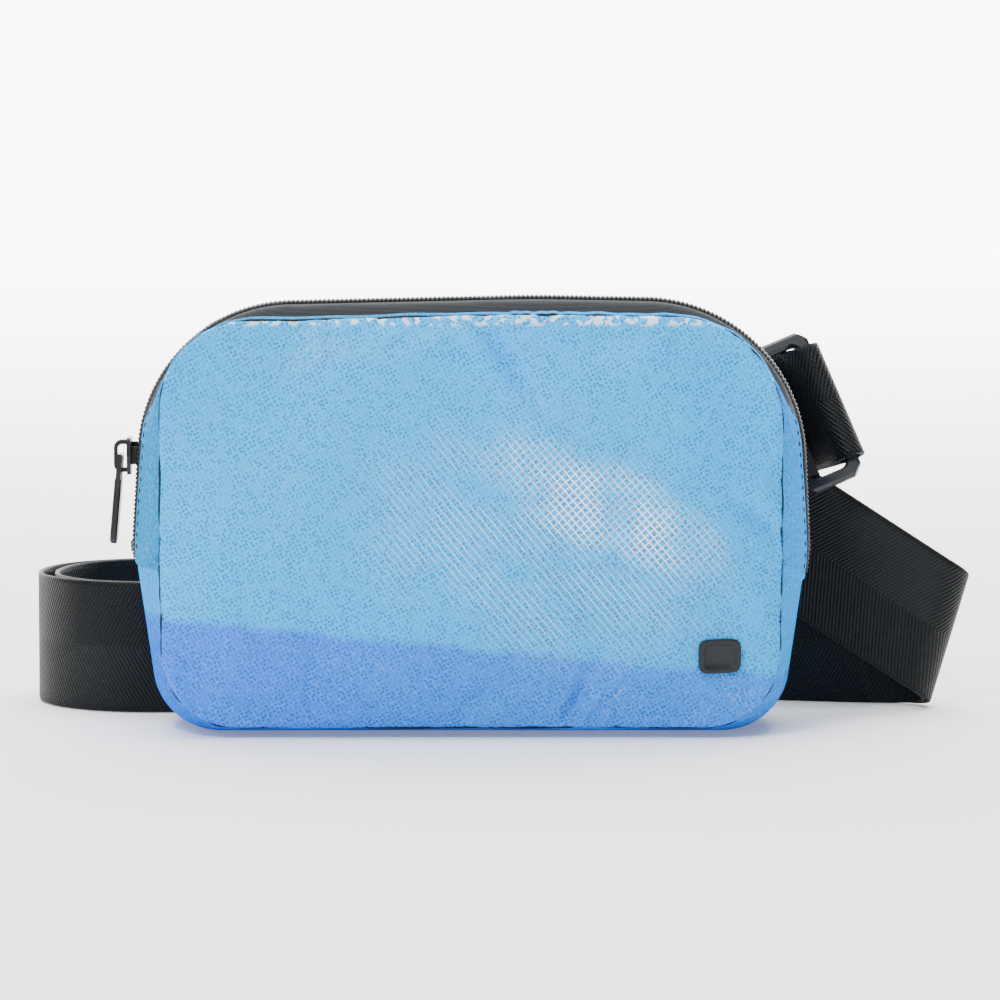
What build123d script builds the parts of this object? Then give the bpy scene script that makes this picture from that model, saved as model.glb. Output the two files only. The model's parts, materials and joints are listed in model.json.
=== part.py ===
from build123d import *
import math
import os

os.makedirs("parts", exist_ok=True)

# Belt bag standing on its bottom gusset. X is the width, Y the depth with the
# front at -Y, Z is up. The origin is the centre of the flat underside.

# Bag body
HALF_DEPTH = 25.0            # seam to mid depth
SKIN = 1.2                   # coated vinyl, seam allowance included
LINING = 0.8
FLAT_HALF_DEPTH = 19.0       # the underside is flat between these
SEAM_LIFT = 3.0              # height of the front and rear seams above the underside
HINGE_Z = 45.0               # height where the zip ends and the mouth folds
BODY_GAP = 0.3               # clearance between pieces of different bodies

# Outline at the front and rear seams, and at mid depth where the bag is widest:
# half widths at the bottom, the widest place and the top, then height and radii.
SEAM = {"bottom": 88.0, "middle": 87.5, "top": 86.5, "height": 120.5, "top_r": 27.0, "bottom_r": 17.0}
CREST = {"bottom": 84.0, "middle": 95.5, "top": 91.2, "height": 121.6, "top_r": 43.0, "bottom_r": 20.0}
MIDDLE_Z = 50.0              # height of the widest place
MIDDLE_RADIUS = 60.0
CROWN = 2.2                  # rise of the top edge from its corners to the middle
CROWN_RADIUS = 400.0

# Zip
TAPE_HALF = 8.0              # visible half of the tape
COIL_OUT = 3.2
COIL_IN = 1.1                # the slider's post runs between the coil halves
COIL_HEIGHT = 1.3
TAPE_INSET = 0.35
TAPE_THICK = 0.6
END_SEAM_TOP = 50.0
STOP_TOP = 53.0

# Slider and pull tab
SLIDER_START = 0.0           # degrees below the level of the corner's centre
SLIDER_LENGTH = 10.5
SLIDER_WIDTH = 9.0
PLATE = 1.1
PLATE_CLEAR = 0.8
OUTER_CLEAR = 1.2            # the track runs straight below the corner, so the outer plate needs more
CROWN_REACH = 3.8
CROWN_WIDTH = 2.4
PULL_LENGTH = 25.0
PULL_WIDTH = 8.0
PULL_THICK = 2.0

# Strap
WEB = 38.0                   # webbing width
LAYER = 1.4
DOUBLE = 2.9
TURN_R = 7.5                 # soft folds behind the bag and at the right
DIAGONAL_Y = 35.0
REAR_Y = DIAGONAL_Y + 2 * TURN_R
RIGHT_TURN = (132.0, 27.0)   # where the diagonal run meets the right fold
RIGHT_TILT = 16.5            # fold line's lean from upright
DIAGONAL_SLOPE = 33.0
UPPER_SLOPE = 27.0           # run from the ring down to the upper fold
UPPER_TURN_X = 74.0
LEFT_TURN = (-98.0, 64.0)    # centre of the left turn
LEFT_R = 33.0
INNER_SHIFT = 3.0
NEAR_Y = LEFT_TURN[1] - LEFT_R + LAYER / 2
GLIDE_WEB_LOW = 3.3          # lower edge of the webbing at the adjuster
GLIDE_RISE_END = -80.0
ANCHOR_X = -12.0

# Ring
RING_CENTRE = (96.5, 32.0, 87.0)
RING_LEAN = 23.0             # of its bars from upright, seen from the front
RING_TILT = 18.0             # of its bars, top to the rear
RING_SLOT = (10.8, 38.8)
RING_BAR = 3.6
WRAP_LENGTH = 36.5

# Three-bar adjuster
GLIDE_X = -46.0
GLIDE_LENGTH = 24.0
GLIDE_RAIL = 2.4
GLIDE_BAR = 4.0


def blend_of(y):
    """Share of the crest outline in the outline at depth y."""
    return 1 - (y / HALF_DEPTH) ** 2


def corners(y, inset=0.0):
    """Corner points and fillet radii of the outline at depth y, moved inwards by inset."""
    share = blend_of(y)
    value = {k: SEAM[k] + (CREST[k] - SEAM[k]) * share for k in SEAM}
    over = max(0.0, abs(y) - FLAT_HALF_DEPTH) / (HALF_DEPTH - FLAT_HALF_DEPTH)
    low = SEAM_LIFT * over - 0.06 * (1 - over) + inset
    high = value["height"] - inset
    side = [
        (value["bottom"] - inset, low, value["bottom_r"] - inset),
        (value["middle"] - inset, MIDDLE_Z, MIDDLE_RADIUS),
        (value["top"] - inset, high - CROWN, value["top_r"] - inset),
    ]
    right = side + [(0.0, high, CROWN_RADIUS)]
    return right + [(-x, z, r) for x, z, r in reversed(side)]


def outline(y, inset=0.0):
    """Face of the outline at depth y."""
    points = corners(y, inset)
    wire = FilletPolyline(*[(x, z) for x, z, r in points], radius=[r for x, z, r in points], close=True)
    return Plane((0, y, 0), x_dir=(1, 0, 0), z_dir=(0, -1, 0)) * make_face(wire)


def band(depths, outer, inner):
    """Closed band of the gusset between the given depths, from inset outer to inset inner."""
    shell = loft([outline(y, outer) for y in depths], ruled=True)
    core = loft([outline(y, inner) for y in depths], ruled=True)
    return shell - core


def above(shape, height):
    return split(shape, bisect_by=Plane((0, 0, height)), keep=Keep.TOP)


def below(shape, height):
    return split(shape, bisect_by=Plane((0, 0, height)), keep=Keep.BOTTOM)


def panel(y, outward, thickness, inset=0.0):
    """Flat panel on the outline at depth y, thickened along outward (+1 or -1 in Y)."""
    return extrude(outline(y, inset), amount=thickness, dir=(0, outward, 0))


def block(x, y, z):
    """Box given by its low and high limits on each axis."""
    size = (x[1] - x[0], y[1] - y[0], z[1] - z[0])
    centre = ((x[0] + x[1]) / 2, (y[0] + y[1]) / 2, (z[0] + z[1]) / 2)
    return Pos(*centre) * Box(*size)


def corner_centre():
    """Centre of the outline's top left corner arc at mid depth."""
    points = corners(0.0)
    before, corner, after = points[3], points[4], points[5]
    radius = corner[2]
    u = Vector(before[0] - corner[0], 0, before[1] - corner[1]).normalized()
    v = Vector(after[0] - corner[0], 0, after[1] - corner[1]).normalized()
    half = math.radians(u.get_angle(v) / 2)
    return Vector(corner[0], 0, corner[1]) + (u + v).normalized() * (radius / math.sin(half)), radius


# ---------------------------------------------------------------- bag shell

FULL = [-25, -19, -10, 0, 10, 19, 25]
FRONT_STRIP = [-25, -19, -TAPE_HALF]
FRONT_TAPE = [-TAPE_HALF, -COIL_IN]
FRONT_COIL = [-COIL_OUT, -COIL_IN]


def mirrored(depths):
    return [-y for y in reversed(depths)]


def lower_gusset():
    """The underside is planed off level, so that the bag stands on a true flat face."""
    whole = below(band(FULL, 0.0, SKIN), HINGE_Z)
    return whole - block((-120, 120), (-40, 40), (-5, 0))


def zip_strip(depths):
    return above(band(depths, 0.0, SKIN), HINGE_Z + BODY_GAP)


def zip_tape(depths):
    return above(band(depths, TAPE_INSET, TAPE_INSET + TAPE_THICK), END_SEAM_TOP + BODY_GAP)


def zip_coil(depths, start):
    return above(band(depths, -COIL_HEIGHT, TAPE_INSET), start)


def end_seam(side):
    """Folded vinyl across the gusset at one end of the zip."""
    whole = band([-TAPE_HALF + BODY_GAP, 0, TAPE_HALF], -0.6, SKIN)
    cut = below(above(whole, HINGE_Z), END_SEAM_TOP)
    reach = 110.0
    limits = (0, reach) if side > 0 else (-reach, 0)
    return cut & block(limits, (-reach, reach), (0, reach))


def end_stops():
    """A crimped stop on each end of the rear coil."""
    return below(above(band([COIL_IN, COIL_OUT], -COIL_HEIGHT - 0.3, TAPE_INSET), END_SEAM_TOP), STOP_TOP)


FRONT_FACE = -HALF_DEPTH - SKIN
front_panel = panel(-HALF_DEPTH, -1, SKIN)
front_lining = panel(-HALF_DEPTH, 1, LINING, SKIN + 0.4)
front_binding = band([-HALF_DEPTH + LINING, -22.5], SKIN + 0.3, SKIN + 1.2)
rear_binding = band([22.5, HALF_DEPTH - LINING], SKIN + 0.3, SKIN + 1.2)

bag = {
    "back_panel": panel(HALF_DEPTH, 1, SKIN),
    "back_lining": panel(HALF_DEPTH, -1, LINING, SKIN + 0.4),
    "rear_binding": rear_binding,
    "lower_gusset": lower_gusset(),
    "front_panel_lower": below(front_panel, HINGE_Z),
    "front_lining_lower": below(front_lining, HINGE_Z),
    "front_binding_lower": below(front_binding, HINGE_Z),
    "rear_zip_strip": above(band(mirrored(FRONT_STRIP), 0.0, SKIN), HINGE_Z),
    "rear_zip_tape": zip_tape(mirrored(FRONT_TAPE)),
    "rear_zip_coil": zip_coil(mirrored(FRONT_COIL), STOP_TOP),
    "zip_end_stops": end_stops(),
    "left_zip_end_seam": end_seam(-1),
    "right_zip_end_seam": end_seam(1),
}

mouth = {
    "front_panel_upper": above(front_panel, HINGE_Z + BODY_GAP),
    "front_lining_upper": above(front_lining, HINGE_Z + BODY_GAP),
    "front_binding_upper": above(front_binding, HINGE_Z + BODY_GAP),
    "front_zip_strip": zip_strip(FRONT_STRIP),
    "front_zip_tape": zip_tape(FRONT_TAPE),
    "front_zip_coil": zip_coil(FRONT_COIL, END_SEAM_TOP + BODY_GAP),
}

# ---------------------------------------------------------------- badge

BADGE = 12.0
BADGE_X, BADGE_Z = 69.5, 23.5


def badge():
    """Raised rounded lozenge of rubber with a sunk centre."""
    plane = Plane((BADGE_X, FRONT_FACE, BADGE_Z), x_dir=(1, 0, 0), z_dir=(0, -1, 0))
    outer = extrude(plane * RectangleRounded(BADGE, BADGE * 0.8, 2.4), amount=0.9)
    inner = extrude(plane.offset(0.5) * RectangleRounded(BADGE - 4.4, BADGE * 0.8 - 4.4, 1.2), amount=1.0)
    return outer - inner


bag["badge"] = badge()

# ---------------------------------------------------------------- slider and pull tab

CORNER, CORNER_RADIUS = corner_centre()
TRACK_X = CORNER.X - CORNER_RADIUS          # surface of the gusset level with the corner's centre
turn_to_start = Pos(CORNER.X, 0, CORNER.Z) * Rot(0, -SLIDER_START, 0) * Pos(-CORNER.X, 0, -CORNER.Z)
OUTER_FACE = TRACK_X - COIL_HEIGHT - OUTER_CLEAR
INNER_FACE = TRACK_X + TAPE_INSET + TAPE_THICK + PLATE_CLEAR
PIVOT_X = OUTER_FACE - PLATE - CROWN_REACH / 2


def zip_slider():
    """Two shield plates joined by a post, with one flange over the rear coil half."""
    half = SLIDER_LENGTH / 2
    z = CORNER.Z
    shield = Polygon((-SLIDER_WIDTH / 2, half), (SLIDER_WIDTH / 2, half), (SLIDER_WIDTH / 2, 0),
                     (SLIDER_WIDTH / 2 - 1.6, -half), (-SLIDER_WIDTH / 2 + 1.6, -half),
                     (-SLIDER_WIDTH / 2, 0), align=None)
    shield = fillet(shield.vertices(), 1.2)
    upright = Plane((0, 0, z), x_dir=(0, 1, 0), z_dir=(1, 0, 0)) * shield
    outer = extrude(Pos(OUTER_FACE, 0, 0) * upright, amount=PLATE, dir=(-1, 0, 0))
    inner = extrude(Pos(INNER_FACE, 0, 0) * upright, amount=PLATE, dir=(1, 0, 0))
    post = block((OUTER_FACE, INNER_FACE), (-0.45, 0.45), (z - 2.5, z + 2.5))
    flange = block((OUTER_FACE, TRACK_X - 0.6), (SLIDER_WIDTH / 2 - 0.8, SLIDER_WIDTH / 2),
                   (z - 0.5, z + half - 1.5))
    return turn_to_start * (outer + inner + post + flange)


def slider_crown():
    """Arch on the slider's outer plate, open from front to rear for the pull tab's bar."""
    face = OUTER_FACE - PLATE
    z = CORNER.Z
    arch = block((face - CROWN_REACH, face), (-CROWN_WIDTH / 2, CROWN_WIDTH / 2), (z - 4.6, z + 4.6))
    arch = fillet(arch.edges().filter_by(Axis.Y).group_by(Axis.X)[0], 2.2)
    hole = block((face - CROWN_REACH + 1.1, face), (-5, 5), (z - 3.3, z + 3.3))
    hole = fillet(hole.edges().filter_by(Axis.Y).group_by(Axis.X)[0], 1.2)
    return turn_to_start * (arch - hole)


def pull_tab():
    """Flat tab hanging from a bar through the crown; the bar's axis is the tab's hinge."""
    z = CORNER.Z
    bar = Pos(PIVOT_X, 0, z) * Rot(90, 0, 0) * Cylinder(0.75, PULL_WIDTH)
    arms = [block((PIVOT_X - 0.75, PIVOT_X + 0.75), (y - 0.9, y + 0.9), (z - 7.0, z))
            for y in (-PULL_WIDTH / 2 + 0.9, PULL_WIDTH / 2 - 0.9)]
    grip = block((PIVOT_X - PULL_THICK / 2, PIVOT_X + PULL_THICK / 2), (-PULL_WIDTH / 2, PULL_WIDTH / 2),
                 (z - PULL_LENGTH, z - 6.5))
    grip = fillet(grip.edges().filter_by(Axis.X).group_by(Axis.Z)[0], 3.0)
    grip = fillet(grip.edges().group_by(Axis.Z)[0], 0.6)
    tab = bar + arms[0] + arms[1] + grip
    pivot = turn_to_start * Pos(PIVOT_X, 0, z)
    return Pos(*pivot.position) * Rot(0, PULL_SWING, 0) * Pos(-PIVOT_X, 0, -z) * tab


PULL_SWING = 5.0             # the tab leans outwards a little, clear of the gusset

slider = {"zip_slider": zip_slider(), "slider_crown": slider_crown()}
pull = {"pull_tab": pull_tab()}

# ---------------------------------------------------------------- strap


def heading(slope):
    """Unit direction in the XZ plane, rising to the right by slope degrees."""
    return math.cos(math.radians(slope)), math.sin(math.radians(slope))


def meet(point, along, start, fold):
    """Where the line through point along one direction crosses the fold line through start."""
    det = along[0] * fold[1] - along[1] * fold[0]
    dx, dz = start[0] - point[0], start[1] - point[1]
    t = (dx * fold[1] - dz * fold[0]) / det
    return point[0] + along[0] * t, point[1] + along[1] * t


def run(y, start, start_fold, end, end_fold, thickness):
    """Flat run of webbing in the plane at depth y, cut along a fold line at each end."""
    length = math.hypot(end[0] - start[0], end[1] - start[1])
    along = ((end[0] - start[0]) / length, (end[1] - start[1]) / length)
    across = (-along[1] * WEB / 2, along[0] * WEB / 2)
    rim = []
    for sign in (1, -1):
        edge = (start[0] + sign * across[0], start[1] + sign * across[1])
        ends = [meet(edge, along, start, start_fold), meet(edge, along, end, end_fold)]
        rim += ends if sign > 0 else ends[::-1]
    plane = Plane((0, y, 0), x_dir=(1, 0, 0), z_dir=(0, -1, 0))
    face = plane * make_face(Polyline(*rim, close=True))
    return extrude(face, amount=thickness / 2, both=True)


def soft_fold(x, z, lean, low, high, side):
    """Half tube of webbing round a leaning fold line, bulging to the right or left."""
    ring = Circle(TURN_R + DOUBLE / 2) - Circle(TURN_R - DOUBLE / 2)
    keep = Pos(side * 20, 0) * Rectangle(40, 60)
    tube = extrude(ring & keep, amount=high - low)
    place = Pos(x, DIAGONAL_Y + TURN_R, z) * Rot(0, lean, 0) * Pos(0, 0, low)
    room = block((-300, 300), (-300, 300), (0, 300))
    return place * tube & room


RIGHT_FOLD = (math.sin(math.radians(RIGHT_TILT)), math.cos(math.radians(RIGHT_TILT)))
UPRIGHT = (0.0, 1.0)
down_right = heading(-DIAGONAL_SLOPE)
upper_z = RIGHT_TURN[1] + (RIGHT_TURN[0] - UPPER_TURN_X) * math.tan(math.radians(DIAGONAL_SLOPE))
UPPER_TURN = (UPPER_TURN_X, upper_z)
up_right = heading(UPPER_SLOPE)
UPPER_RUN_LENGTH = 17.0
upper_start = (UPPER_TURN[0], UPPER_TURN[1] - 3.0)
upper_end = (upper_start[0] + up_right[0] * UPPER_RUN_LENGTH, upper_start[1] + up_right[1] * UPPER_RUN_LENGTH)
upper_cut = (-up_right[1], up_right[0])


def plan_run(start, end, low, thickness, height=WEB):
    """Upright run of webbing between two plan points, standing at height low."""
    dx, dy = end[0] - start[0], end[1] - start[1]
    length = math.hypot(dx, dy)
    middle = ((start[0] + end[0]) / 2, (start[1] + end[1]) / 2, low + height / 2)
    return Pos(*middle) * Rot(0, 0, math.degrees(math.atan2(dy, dx))) * Box(length, thickness, height)


def left_turn(centre_x, radius, end_angle):
    """One layer of the upright left turn, from the near side round to the far side."""
    ring = Circle(radius + LAYER / 2) - Circle(radius - LAYER / 2)
    reach = 80.0
    swing = math.radians(end_angle)
    wedge = Polygon((0, 0), (0, -reach), (-reach, -reach), (-reach, reach),
                    (-reach * math.sin(swing), reach * math.cos(swing)), align=None)
    return extrude(Pos(centre_x, LEFT_TURN[1]) * (ring & wedge), amount=WEB)


far_angle = -math.degrees(math.atan2(LEFT_TURN[1] + LEFT_R - REAR_Y, RIGHT_TURN[0] - LEFT_TURN[0]))
far_end = (LEFT_TURN[0] + INNER_SHIFT + 0.4, LEFT_TURN[1] + LEFT_R - 1.0)

bag["strap_diagonal_run"] = run(DIAGONAL_Y, UPPER_TURN, UPRIGHT, RIGHT_TURN, RIGHT_FOLD, DOUBLE)
bag["strap_right_turn"] = soft_fold(RIGHT_TURN[0], RIGHT_TURN[1], RIGHT_TILT, -30.0, 20.4, 1)
bag["strap_upper_turn"] = soft_fold(UPPER_TURN[0], UPPER_TURN[1], 0.0, -24.0, 22.0, -1)
bag["strap_upper_run"] = run(REAR_Y, upper_start, UPRIGHT, upper_end, upper_cut, DOUBLE)
bag["strap_floor_run"] = plan_run((RIGHT_TURN[0] - 9.0, REAR_Y), far_end, 0.0, DOUBLE)
bag["strap_left_turn_outer"] = left_turn(LEFT_TURN[0], LEFT_R, 0.0)
bag["strap_left_turn_inner"] = left_turn(LEFT_TURN[0] + INNER_SHIFT, LEFT_R - LAYER - 0.2, 0.0)
GLIDE_MIDDLE = GLIDE_WEB_LOW + WEB / 2
bag["strap_near_rise"] = run(NEAR_Y, (LEFT_TURN[0] + INNER_SHIFT, WEB / 2 + 0.1), UPRIGHT,
                             (GLIDE_RISE_END, GLIDE_MIDDLE), UPRIGHT, LAYER)
bag["strap_near_run"] = run(NEAR_Y, (GLIDE_RISE_END, GLIDE_MIDDLE), UPRIGHT,
                            (ANCHOR_X, GLIDE_MIDDLE), UPRIGHT, LAYER)
bag["strap_anchor"] = block((ANCHOR_X, ANCHOR_X + 30), (HALF_DEPTH + SKIN, NEAR_Y + LAYER / 2),
                            (GLIDE_WEB_LOW, GLIDE_WEB_LOW + WEB))

# ---------------------------------------------------------------- ring

lean, tilt = math.radians(RING_LEAN), math.radians(RING_TILT)
ACROSS = Vector(math.cos(lean), 0, math.sin(lean))
BAR = Vector(math.sin(lean) * math.cos(tilt), -math.sin(tilt), -math.cos(lean) * math.cos(tilt))
ring_plane = Plane(RING_CENTRE, x_dir=ACROSS, z_dir=ACROSS.cross(BAR))
BAR_OFFSET = (RING_SLOT[0] + RING_BAR) / 2
OUTER_SIZE = (RING_SLOT[0] + 2 * RING_BAR, RING_SLOT[1] + 2 * RING_BAR)
INNER_BAR = Vector(*RING_CENTRE) - ACROSS * BAR_OFFSET
TAB_R = 2.7


def strap_ring():
    """Rectangular ring with chamfered corners and rounded bars."""
    rim = Rectangle(*OUTER_SIZE)
    rim = chamfer(rim.vertices(), 3.0)
    slot = RectangleRounded(RING_SLOT[0], RING_SLOT[1], 2.5)
    body = extrude(ring_plane * (rim - slot), amount=RING_BAR / 2, both=True)
    return chamfer(body.edges().filter_by(lambda e: e.length > 8), 0.9)


def strap_wrap():
    """Webbing turn round the ring's outer bar, with two short legs towards the slot."""
    shell = Circle(TAB_R + LAYER) - Circle(TAB_R)
    half = shell & Pos(10, 0) * Rectangle(20, 20)
    legs = [Pos(-0.9, y) * Rectangle(1.8, LAYER) for y in (TAB_R + LAYER / 2, -TAB_R - LAYER / 2)]
    section = half + legs[0] + legs[1]
    place = Plane(Vector(*RING_CENTRE) + ACROSS * BAR_OFFSET, x_dir=ACROSS, z_dir=BAR)
    return extrude(place * section, amount=WRAP_LENGTH / 2, both=True)


def ring_tab_loop():
    """Webbing loop round the ring's inner bar, open on the slot side."""
    shell = Circle(TAB_R + LAYER) - Circle(TAB_R)
    place = Plane(INNER_BAR, x_dir=ACROSS, z_dir=BAR)
    return extrude(place * shell, amount=WRAP_LENGTH / 2, both=True)


TAB_EDGE_X = 75.0
TAB_LOW, TAB_HIGH = 66.0, 101.0


def ring_tab_neck():
    """Webbing from the back panel's edge to the loop, turning from upright to the bar's lean."""
    bar_end = INNER_BAR - ACROSS * (TAB_R + LAYER + 0.1)
    at_bar = Plane(bar_end, x_dir=BAR, z_dir=ACROSS) * Rectangle(WRAP_LENGTH, LAYER)
    at_edge = Plane((TAB_EDGE_X, HALF_DEPTH + SKIN + LAYER / 2, (TAB_LOW + TAB_HIGH) / 2),
                    x_dir=(0, 0, -1), z_dir=(1, 0, 0)) * Rectangle(TAB_HIGH - TAB_LOW, LAYER)
    return loft([at_edge, at_bar], ruled=True)


ring = {"strap_ring": strap_ring(), "strap_wrap": strap_wrap()}
bag["ring_tab_loop"] = ring_tab_loop()
bag["ring_tab_neck"] = ring_tab_neck()
bag["ring_tab_patch"] = block((50.0, TAB_EDGE_X), (HALF_DEPTH + SKIN, HALF_DEPTH + SKIN + LAYER),
                              (TAB_LOW, TAB_HIGH))

# ---------------------------------------------------------------- adjuster


def tri_glide():
    """Two rails above and below the webbing, two side bars behind it and one bar in front."""
    low, high = GLIDE_WEB_LOW - 0.4, GLIDE_WEB_LOW + WEB + 0.4
    front, rear = NEAR_Y - LAYER / 2 - 0.5, NEAR_Y + LAYER / 2 + 0.5
    depth = (front - 1.7, rear + 1.7)
    x = (GLIDE_X - GLIDE_LENGTH / 2, GLIDE_X + GLIDE_LENGTH / 2)
    frame = block(x, depth, (low - GLIDE_RAIL, low)) + block(x, depth, (high, high + GLIDE_RAIL))
    frame += block((x[0], x[0] + GLIDE_BAR), (rear, rear + 1.7), (low, high))
    frame += block((x[1] - GLIDE_BAR, x[1]), (rear, rear + 1.7), (low, high))
    frame += block((GLIDE_X - GLIDE_BAR / 2, GLIDE_X + GLIDE_BAR / 2), (front - 1.7, front), (low, high))
    return frame


adjuster = {"tri_glide": tri_glide()}

# ---------------------------------------------------------------- export

for group in (bag, mouth, slider, pull, ring, adjuster):
    for name, shape in group.items():
        export_step(shape, f"parts/{name}.step")

pivot_place = turn_to_start * Pos(PIVOT_X, 0, CORNER.Z)
print("mouth hinge", (0, FRONT_FACE, HINGE_Z))
print("slider hinge", CORNER, "radius", CORNER_RADIUS)
print("pull hinge", pivot_place.position)
print("ring hinge", INNER_BAR, "axis", BAR)
print("upper turn", UPPER_TURN, "far end", far_end)
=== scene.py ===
"""Zipped belt bag of printed banner vinyl on a wide webbing strap.

Every size is in metres. The bag stands on the floor at z = 0 with its front to -Y.
"""
import json
import math

import bmesh
import bpy
import numpy as np
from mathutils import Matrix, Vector
from mathutils.bvhtree import BVHTree


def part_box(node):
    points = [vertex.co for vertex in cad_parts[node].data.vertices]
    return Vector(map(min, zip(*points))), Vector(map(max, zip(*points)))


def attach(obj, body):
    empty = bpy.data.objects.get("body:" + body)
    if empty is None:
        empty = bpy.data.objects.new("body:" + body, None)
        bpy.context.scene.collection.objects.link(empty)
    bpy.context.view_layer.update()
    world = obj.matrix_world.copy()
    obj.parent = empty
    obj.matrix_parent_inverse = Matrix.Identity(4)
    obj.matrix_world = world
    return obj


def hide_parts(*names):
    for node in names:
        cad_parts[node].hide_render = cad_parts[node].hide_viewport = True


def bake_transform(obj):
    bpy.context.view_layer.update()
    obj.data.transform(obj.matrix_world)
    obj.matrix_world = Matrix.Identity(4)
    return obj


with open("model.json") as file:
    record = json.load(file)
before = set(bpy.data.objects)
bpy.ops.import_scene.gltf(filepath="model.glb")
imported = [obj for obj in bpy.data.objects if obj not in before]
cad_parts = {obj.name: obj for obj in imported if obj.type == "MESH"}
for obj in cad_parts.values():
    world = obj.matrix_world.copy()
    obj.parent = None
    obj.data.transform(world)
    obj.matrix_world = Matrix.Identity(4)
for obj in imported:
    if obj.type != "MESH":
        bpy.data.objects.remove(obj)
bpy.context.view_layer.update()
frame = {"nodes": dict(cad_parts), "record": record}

bl_info = {
    "name": "Belt bag",
    "version": (1, 0, 0),
    "blender": (4, 5, 0),
    "location": "View3D > Sidebar > Belt bag",
    "description": "Builds a zipped belt bag and its strap round the loaded frame",
    "category": "Add Mesh",
}

JOINTS = {joint["name"]: joint for joint in frame["record"]["behaviour"]["joints"]}
MM = 0.001

# ------------------------------------------------------------------ settings


class BagSizes(bpy.types.PropertyGroup):
    """Sizes a user would change"""
    puff: bpy.props.FloatProperty(
        name="Front puff", description="How far the front panel stands out at its middle",
        default=4.6 * MM, unit="LENGTH")
    rear_puff: bpy.props.FloatProperty(
        name="Rear puff", description="How far the back panel stands out at its middle",
        default=1.6 * MM, unit="LENGTH")
    top_dip: bpy.props.FloatProperty(
        name="Top dip", description="How far the zip strips sink beside the zip along the top",
        default=5.6 * MM, unit="LENGTH")
    coil_pitch: bpy.props.FloatProperty(
        name="Coil pitch", description="Distance between two turns of the zip's coil",
        default=1.25 * MM, unit="LENGTH")
    stitch: bpy.props.FloatProperty(
        name="Stitch length", description="Length of one stitch and its gap",
        default=3.2 * MM, unit="LENGTH")
    layer: bpy.props.FloatProperty(
        name="Webbing thickness", description="Thickness of one layer of webbing",
        default=1.35 * MM, unit="LENGTH")


class BagColours(bpy.types.PropertyGroup):
    """Colours a user would change"""
    sky: bpy.props.FloatVectorProperty(
        name="Sky print", description="Printed colour of most of the bag", subtype="COLOR", size=4,
        default=(0.000, 0.445, 1.000, 1.0))
    lower: bpy.props.FloatVectorProperty(
        name="Lower print", description="Printed colour of the lower band", subtype="COLOR", size=4,
        default=(0.030, 0.200, 0.900, 1.0))
    teal: bpy.props.FloatVectorProperty(
        name="Teal print", description="Printed colour of the left zip strip", subtype="COLOR", size=4,
        default=(0.000, 0.250, 0.360, 1.0))
    dots: bpy.props.FloatVectorProperty(
        name="Print dots", description="Colour of the small dots of the print", subtype="COLOR", size=4,
        default=(0.000, 0.090, 0.260, 1.0))
    webbing: bpy.props.FloatVectorProperty(
        name="Webbing", description="Colour of the strap", subtype="COLOR", size=4,
        default=(0.008, 0.010, 0.011, 1.0))


def sizes():
    return bpy.context.scene.belt_bag_sizes


def colours():
    return bpy.context.scene.belt_bag_colours


# ------------------------------------------------------------------ shader maths


class Value:
    """A shader socket that takes part in arithmetic; each sign adds one Math node."""

    def __init__(self, tree, socket):
        self.tree = tree
        self.socket = socket

    def math(self, operation, *values):
        node = self.tree.nodes.new("ShaderNodeMath")
        node.operation = operation
        for slot, value in zip(node.inputs, values):
            if isinstance(value, Value):
                self.tree.links.new(value.socket, slot)
            else:
                slot.default_value = value
        return Value(self.tree, node.outputs[0])

    def __add__(self, other):
        return self.math("ADD", self, other)

    def __radd__(self, other):
        return self.math("ADD", other, self)

    def __sub__(self, other):
        return self.math("SUBTRACT", self, other)

    def __rsub__(self, other):
        return self.math("SUBTRACT", other, self)

    def __mul__(self, other):
        return self.math("MULTIPLY", self, other)

    def __rmul__(self, other):
        return self.math("MULTIPLY", other, self)

    def __abs__(self):
        return self.math("ABSOLUTE", self)

    def sine(self):
        return self.math("SINE", self)

    def power(self, exponent):
        return self.math("POWER", self, exponent)

    def larger(self, other):
        return self.math("MAXIMUM", self, other)

    def step(self, low, high):
        """0 below low, 1 above high, and a smooth rise between; low may be the larger one."""
        node = self.tree.nodes.new("ShaderNodeMapRange")
        node.interpolation_type = "SMOOTHSTEP"
        node.inputs["From Min"].default_value = min(low, high)
        node.inputs["From Max"].default_value = max(low, high)
        node.inputs["To Min"].default_value = 0.0 if low < high else 1.0
        node.inputs["To Max"].default_value = 1.0 if low < high else 0.0
        self.tree.links.new(self.socket, node.inputs["Value"])
        return Value(self.tree, node.outputs["Result"])


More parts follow.
